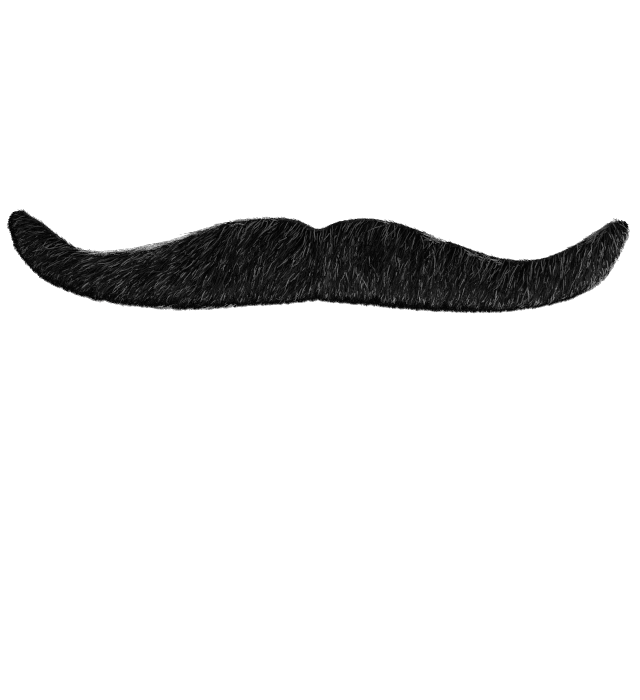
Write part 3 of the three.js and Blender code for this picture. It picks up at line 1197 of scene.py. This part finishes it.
@dataclass
class KnitGround:
    """The knitted cloth that the hair is rooted in, with a rim of cut stitches. Sizes are in mm."""

    outline: Outline
    worn: WornEdges
    bottom: float = 0.8
    top: float = 1.8
    upper_inset: float = 0.3
    lower_inset: float = 0.5
    thin_inset: float = 0.9  # added where the edge is thin
    columns: int = 13
    rim_turns: tuple[float, ...] = (-45, 0, 45)
    rim_bulge: float = 0.6  # as a share of half the thickness
    full_half: float = 3.0  # narrower ends bulge less

    def build(self, finish: bpy.types.Material) -> bpy.types.Object:
        """The cloth as a closed sheet with a rounded rim.

        Args:
            finish: Its material.

        Returns:
            The piece.
        """
        rows = [self._ring(at) for at in self.outline.stations()]
        count = len(rows[0])
        faces = []
        for first in range(0, (len(rows) - 1) * count, count):
            for i in range(count):
                this, following = first + i, first + (i + 1) % count
                faces.append((this, following, following + count, this + count))
        faces.append(tuple(reversed(range(count))))
        faces.append(tuple(range((len(rows) - 1) * count, len(rows) * count)))
        made = new_object("knit_ground", np.vstack(rows), faces)
        made.data.materials.append(finish)
        made.data.shade_smooth()
        return made

    def _ring(self, at: Station) -> np.ndarray:
        """The points round the cloth at a station.

        Args:
            at: The station.

        Returns:
            The points in mm, from the upper edge back to it by way of the underside.
        """
        half_thick = (self.top - self.bottom) / 2
        middle = (self.top + self.bottom) / 2
        bulge = self.rim_bulge * min(1.0, at.half / self.full_half)
        plain = {Edge.UPPER: self.upper_inset, Edge.LOWER: self.lower_inset}
        x = at.middle[0]
        insets = [inset + self.thin_inset * self.worn.thinness(edge, x) for edge, inset in plain.items()]
        made = []
        for side, level, turns in ((1, self.bottom, self.rim_turns), (-1, self.top, self.rim_turns[::-1])):
            shares = np.linspace(side, -side, self.columns)
            made += [[*at.across(share, *insets), level] for share in shares]
            for turn in np.radians(turns):
                rim = at.across(-side, *insets) - side * half_thick * math.cos(turn) * bulge * at.rib
                made.append([*rim, middle + half_thick * math.sin(turn)])
        return np.array(made)

    def edge(self) -> np.ndarray:
        """The cloth's edge, in metres."""
        rows = [self._ring(at)[:self.columns, :2] * MM for at in self.outline.stations()]
        return np.array([*(row[-1] for row in rows), *(row[0] for row in reversed(rows))])

    def area(self) -> float:
        """The cloth's flat area in square metres."""
        edge = self.edge()
        return abs(float(np.sum(cross(edge, np.roll(edge, -1, axis=0))))) / 2

    def flat(self) -> tuple[float, float]:
        """The length and height of the rectangle that the cloth was cut from, in metres."""
        length, height = np.ptp(self.edge(), axis=0)
        return float(length), float(height)


def shader_group(name: str, inputs: Mapping[str, str], outputs: Mapping[str, str]) -> Graph:
    """A shader node group that has a dark and a pale colour among its inputs."""
    tree = bpy.data.node_groups.new(name, "ShaderNodeTree")
    return Graph(tree, {"Dark": COLOR, "Pale": COLOR, **inputs}, outputs)


FIBRE_LIT_STREAK = (0.25, 0.85)  # painted shade and highlight along a fibre: where its darkened root ends, and where its full paleness begins


def fibre_shade() -> bpy.types.NodeTree:
    """The colour of a fibre from its shade and the way along it, darkened towards the root as painted
    shade, as a shader node group.

    Returns:
        The group.
    """
    inputs = dict.fromkeys(("Tone", "Along", "Root Share"), FLOAT)
    graph = shader_group("fibre_shade", inputs, {"Color": COLOR})
    shades = (graph.inlet("Root Share"), 1.0)
    # Painted shade towards the root, and painted highlight along the rest of the fibre.
    lit_streak = graph.ramp(graph.inlet("Along"), FIBRE_LIT_STREAK, shades, interpolation_type="SMOOTHSTEP")
    color = graph.mix(graph.inlet("Tone") * lit_streak, graph.inlet("Dark"), graph.inlet("Pale"))
    graph.node("NodeGroupOutput", {"Color": color})
    return graph.tree


MOTTLE_NOISE = (0.35, 0.65)  # the noise in the darkest and the palest places
CLOUD_DETAIL = 3.0
GRAIN_DETAIL = 4.0


def mottle() -> bpy.types.NodeTree:
    """Uneven colour and a fine crinkle, as a shader node group.

    Returns:
        The group.
    """
    inputs = {"Vector": "NodeSocketVector", "Cloud Scale": FLOAT, "Grain Scale": FLOAT}
    graph = shader_group("mottle", inputs, {"Color": COLOR, "Grain": FLOAT})
    place = graph.inlet("Vector")
    cloud = graph.noise(place, graph.inlet("Cloud Scale"), CLOUD_DETAIL)
    grain = graph.noise(place, graph.inlet("Grain Scale"), GRAIN_DETAIL)
    share = graph.ramp((grain + cloud) * 0.5, MOTTLE_NOISE, (0.0, 1.0))
    color = graph.mix(share, graph.inlet("Dark"), graph.inlet("Pale"))
    graph.node("NodeGroupOutput", {"Color": color, "Grain": grain})
    return graph.tree


def grey(level: float) -> Tint:
    """A colour with no hue."""
    return (level, level, level)


@dataclass(frozen=True)
class Finish:
    """What all finishes share: a name, the darkest and the palest colour, the roughness and the gloss."""

    name: str
    dark: Tint
    pale: Tint
    roughness: float
    gloss: float

    def material(self, group: bpy.types.NodeTree) -> None:
        """Makes the material.

        Args:
            group: The node group that gives its colour.
        """
        made = bpy.data.materials.new(self.name)
        made.use_nodes = True
        made.node_tree.nodes.clear()
        graph = Graph(made.node_tree)
        feeds = {**self.looks(graph, group), "Roughness": self.roughness, "Specular IOR Level": self.gloss}
        surface = graph.out("ShaderNodeBsdfPrincipled", feeds)
        graph.node("ShaderNodeOutputMaterial", {"Surface": surface})

    def looks(self, graph: Graph, group: bpy.types.NodeTree) -> dict[str, Value]:
        """What goes into the surface besides roughness and gloss, which each kind of finish knows."""
        raise NotImplementedError

    def tints(self) -> dict[str, tuple[float, ...]]:
        """The two colours, as a node group takes them."""
        return {"Dark": (*self.dark, 1.0), "Pale": (*self.pale, 1.0)}


@dataclass(frozen=True)
class HairFinish(Finish):
    """The finish of one kind of hair."""

    root_share: float  # how much of its shade a hair has at its root, where the rest is painted shade

    def looks(self, graph: Graph, group: bpy.types.NodeTree) -> dict[str, Value]:
        """The colour, which follows each hair's own shade.

        Args:
            graph: The material's nodes.
            group: The node group that gives a fibre's colour.

        Returns:
            What goes into the surface.
        """
        feeds = {"Root Share": self.root_share, **self.tints()}
        for label in ("Tone", "Along"):
            feeds[label] = graph.out("ShaderNodeAttribute", key="Fac", attribute_name=label.lower())
        return {"Base Color": graph.out("ShaderNodeGroup", feeds, "Color", node_tree=group)}


HAIR_FINISHES: tuple[HairFinish, ...] = (
    HairFinish(UNDERFUR.name, grey(0.0004), grey(0.013), roughness=0.7, gloss=0.02, root_share=0.2),
    HairFinish(GUARD_HAIR.name, grey(0.001), grey(0.037), roughness=0.45, gloss=0.03, root_share=0.5),
    # The glint hair's pale colour is partly painted highlight.
    HairFinish(GLINT_HAIR.name, grey(0.003), grey(0.32), roughness=0.4, gloss=0.15, root_share=0.7),
    HairFinish(EDGE_LINT.name, grey(0.02), grey(0.85), roughness=0.7, gloss=0.1, root_share=0.8),
    HairFinish(EDGE_FUZZ.name, grey(0.003), grey(0.06), roughness=0.7, gloss=0.1, root_share=0.8),
)


@dataclass(frozen=True)
class MottledFinish(Finish):
    """Uneven colour and a fine crinkle. Scales are waves to a metre, and the relief is in mm."""

    cloud: float
    grain: float
    relief: float

    def looks(self, graph: Graph, group: bpy.types.NodeTree) -> dict[str, Value]:
        """The colour and the relief, which follow the piece's own coordinates.

        Args:
            graph: The material's nodes.
            group: The node group that gives the uneven colour.

        Returns:
            What goes into the surface.
        """
        place = graph.out("ShaderNodeTexCoord", key="Object")
        feeds = {"Vector": place, "Cloud Scale": self.cloud, "Grain Scale": self.grain, **self.tints()}
        uneven = graph.outputs(graph.node("ShaderNodeGroup", feeds, node_tree=group))
        color, height = self.pattern(graph, place, uneven)
        feeds = {"Strength": 1.0, "Distance": self.relief * MM, "Height": height}
        return {"Base Color": color, "Normal": graph.out("ShaderNodeBump", feeds)}

    def pattern(self, graph: Graph, place: Value, uneven: Mapping[str, Value]) -> tuple[Value, Value]:
        """The colour and the height over the surface: the uneven ones as they are."""
        return uneven["Color"], uneven["Grain"]


@dataclass(frozen=True)
class KnitFinish(MottledFinish):
    """A knitted cloth: columns of slanting stitches with furrows between them, darkened as painted shade.
    Pitches are in mm.
    """

    column: float = 0.9
    stitch: float = 0.75
    slope: float = 0.5  # how far a stitch rises from its column's middle to its side, in stitches
    furrow: tuple[float, float] = (0.75, 1.0)  # from where to where beside the middle it deepens
    # painted shade: how light the deepest furrows stay, as a share
    furrow_shade: float = 0.4
    roughening: float = 0.3  # how high the grain is, against the stitches

    def pattern(self, graph: Graph, place: Value, uneven: Mapping[str, Value]) -> tuple[Value, Value]:
        """The colour, with painted shade in the furrows, and the height of the stitches.

        Args:
            graph: The material's nodes.
            place: The coordinates on the piece.
            uneven: The uneven colour and grain.

        Returns:
            The two values.
        """
        x, y, z = graph.outputs(graph.node("ShaderNodeSeparateXYZ", {0: place})).values()
        across = graph.math("FRACT", x / (self.column * MM))
        slant = graph.math("ABSOLUTE", graph.either_way(across))
        along = (y + z) / (self.stitch * MM)
        leg = graph.math("SINE", (slant * self.slope + along) * math.tau) * 0.5 + 0.5
        furrow = graph.ramp(slant, self.furrow, (1.0, 0.0), interpolation_type="SMOOTHSTEP")
        raised = leg * furrow
        # Painted shade: the colour darkens into the furrows between stitches.
        shaded = raised * (1 - self.furrow_shade) + self.furrow_shade
        return uneven["Color"] * shaded, uneven["Grain"] * self.roughening + raised


KNIT = KnitFinish(
    "knit", grey(0.002), (0.007, 0.007, 0.0075),
    roughness=0.9, gloss=0.1, cloud=300, grain=9000, relief=0.25,
)
TAPE = MottledFinish(
    "tape", (0.70, 0.65, 0.55), (0.84, 0.81, 0.72),
    roughness=0.45, gloss=0.4, cloud=120, grain=1500, relief=0.12,
)
PALE_FLOOR = MottledFinish(
    "pale_floor", grey(0.88), grey(0.92),
    roughness=0.9, gloss=0.1, cloud=20, grain=400, relief=0.1,
)


@dataclass
class Studio:
    """A pale floor, soft light from above and a camera that looks straight down. Sizes are in mm."""

    frame_height: float = 175.0
    view_x: float = 0.5
    view_y: float = -21.5
    lens: float = 120.0
    sensor: float = 36.0
    floor_size: float = 4000.0
    floor_drop: float = 0.05
    key_from: tuple[float, float, float] = (-80.0, 150.0, 1000.0)
    key_strength: float = 5.6
    key_width: float = 17.0  # in degrees, as seen from the moustache
    room_light: float = 0.15
    room_seen: float = 1.0
    pixel_filter: float = 1.25  # how wide, in pixels

    def build(self) -> None:
        """Makes the floor, the lights and the camera."""
        self._floor()
        self._key()
        self._room()
        self._camera()
        scene = bpy.context.scene
        scene.view_settings.view_transform = "Standard"
        scene.cycles.use_denoising = False
        scene.cycles.filter_width = self.pixel_filter

    def _floor(self) -> None:
        """The floor that the moustache lies on."""
        half = self.floor_size / 2
        corners = [(-half, -half), (half, -half), (half, half), (-half, half)]
        points = np.array([[x, y, -self.floor_drop] for x, y in corners])
        floor = new_object("floor", points, [(0, 1, 2, 3)])
        floor.data.materials.append(bpy.data.materials[PALE_FLOOR.name])

    def _key(self) -> None:
        """A soft light from high up."""
        light = bpy.data.lights.new("key", "SUN")
        light.energy = self.key_strength
        light.angle = math.radians(self.key_width)
        key = bpy.data.objects.new("key", light)
        key.rotation_euler = (-Vector(self.key_from)).to_track_quat("-Z", "Y").to_euler()
        bpy.context.scene.collection.objects.link(key)

    def _room(self) -> None:
        """A pale room that adds little to the light."""
        world = bpy.data.worlds.new("pale_room")
        world.use_nodes = True
        world.node_tree.nodes.clear()
        graph = Graph(world.node_tree)
        seen = graph.out("ShaderNodeLightPath", key="Is Camera Ray")
        strength = seen * (self.room_seen - self.room_light) + self.room_light
        room = graph.out("ShaderNodeBackground", {"Color": (1.0, 1.0, 1.0, 1.0), "Strength": strength})
        graph.node("ShaderNodeOutputWorld", {"Surface": room})
        bpy.context.scene.world = world

    def _camera(self) -> None:
        """The camera, straight above the frame's middle."""
        camera = bpy.data.cameras.new("camera")
        camera.lens = self.lens
        camera.sensor_width = self.sensor
        made = bpy.data.objects.new("camera", camera)
        above = self.frame_height * self.lens / self.sensor
        made.location = Vector((self.view_x, self.view_y, above)) * MM
        bpy.context.scene.collection.objects.link(made)
        bpy.context.scene.camera = made


def main() -> None:
    """Builds the moustache and its studio, and reports each piece."""
    logging.basicConfig(level=logging.INFO, format="%(name)s: %(message)s")
    shade = fibre_shade()
    for finish in HAIR_FINISHES:
        finish.material(shade)
    uneven = mottle()
    for finish in (KNIT, TAPE, PALE_FLOOR):
        finish.material(uneven)
    outline = Outline()
    worn = WornEdges()
    tree = StrandTree()
    ground = KnitGround(outline, worn)
    cloth = ground.build(bpy.data.materials[KNIT.name])
    hair = [*CombedPile(outline, worn, tree).build(), *EdgeFringe(outline, worn, tree).build()]
    for piece in (cloth, *hair):
        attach(piece, BODY)
        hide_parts(FUR_NODE)
        LOG.info("%s: %d triangles", piece.name, len(piece.data.loops) - 2 * len(piece.data.polygons))
    ground.flat()
    ground.area()
    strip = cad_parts[STRIP_NODE]
    for holder in strip.material_slots:
        holder.material = bpy.data.materials[TAPE.name]
    Studio().build()


if __name__ == "__main__":
    main()
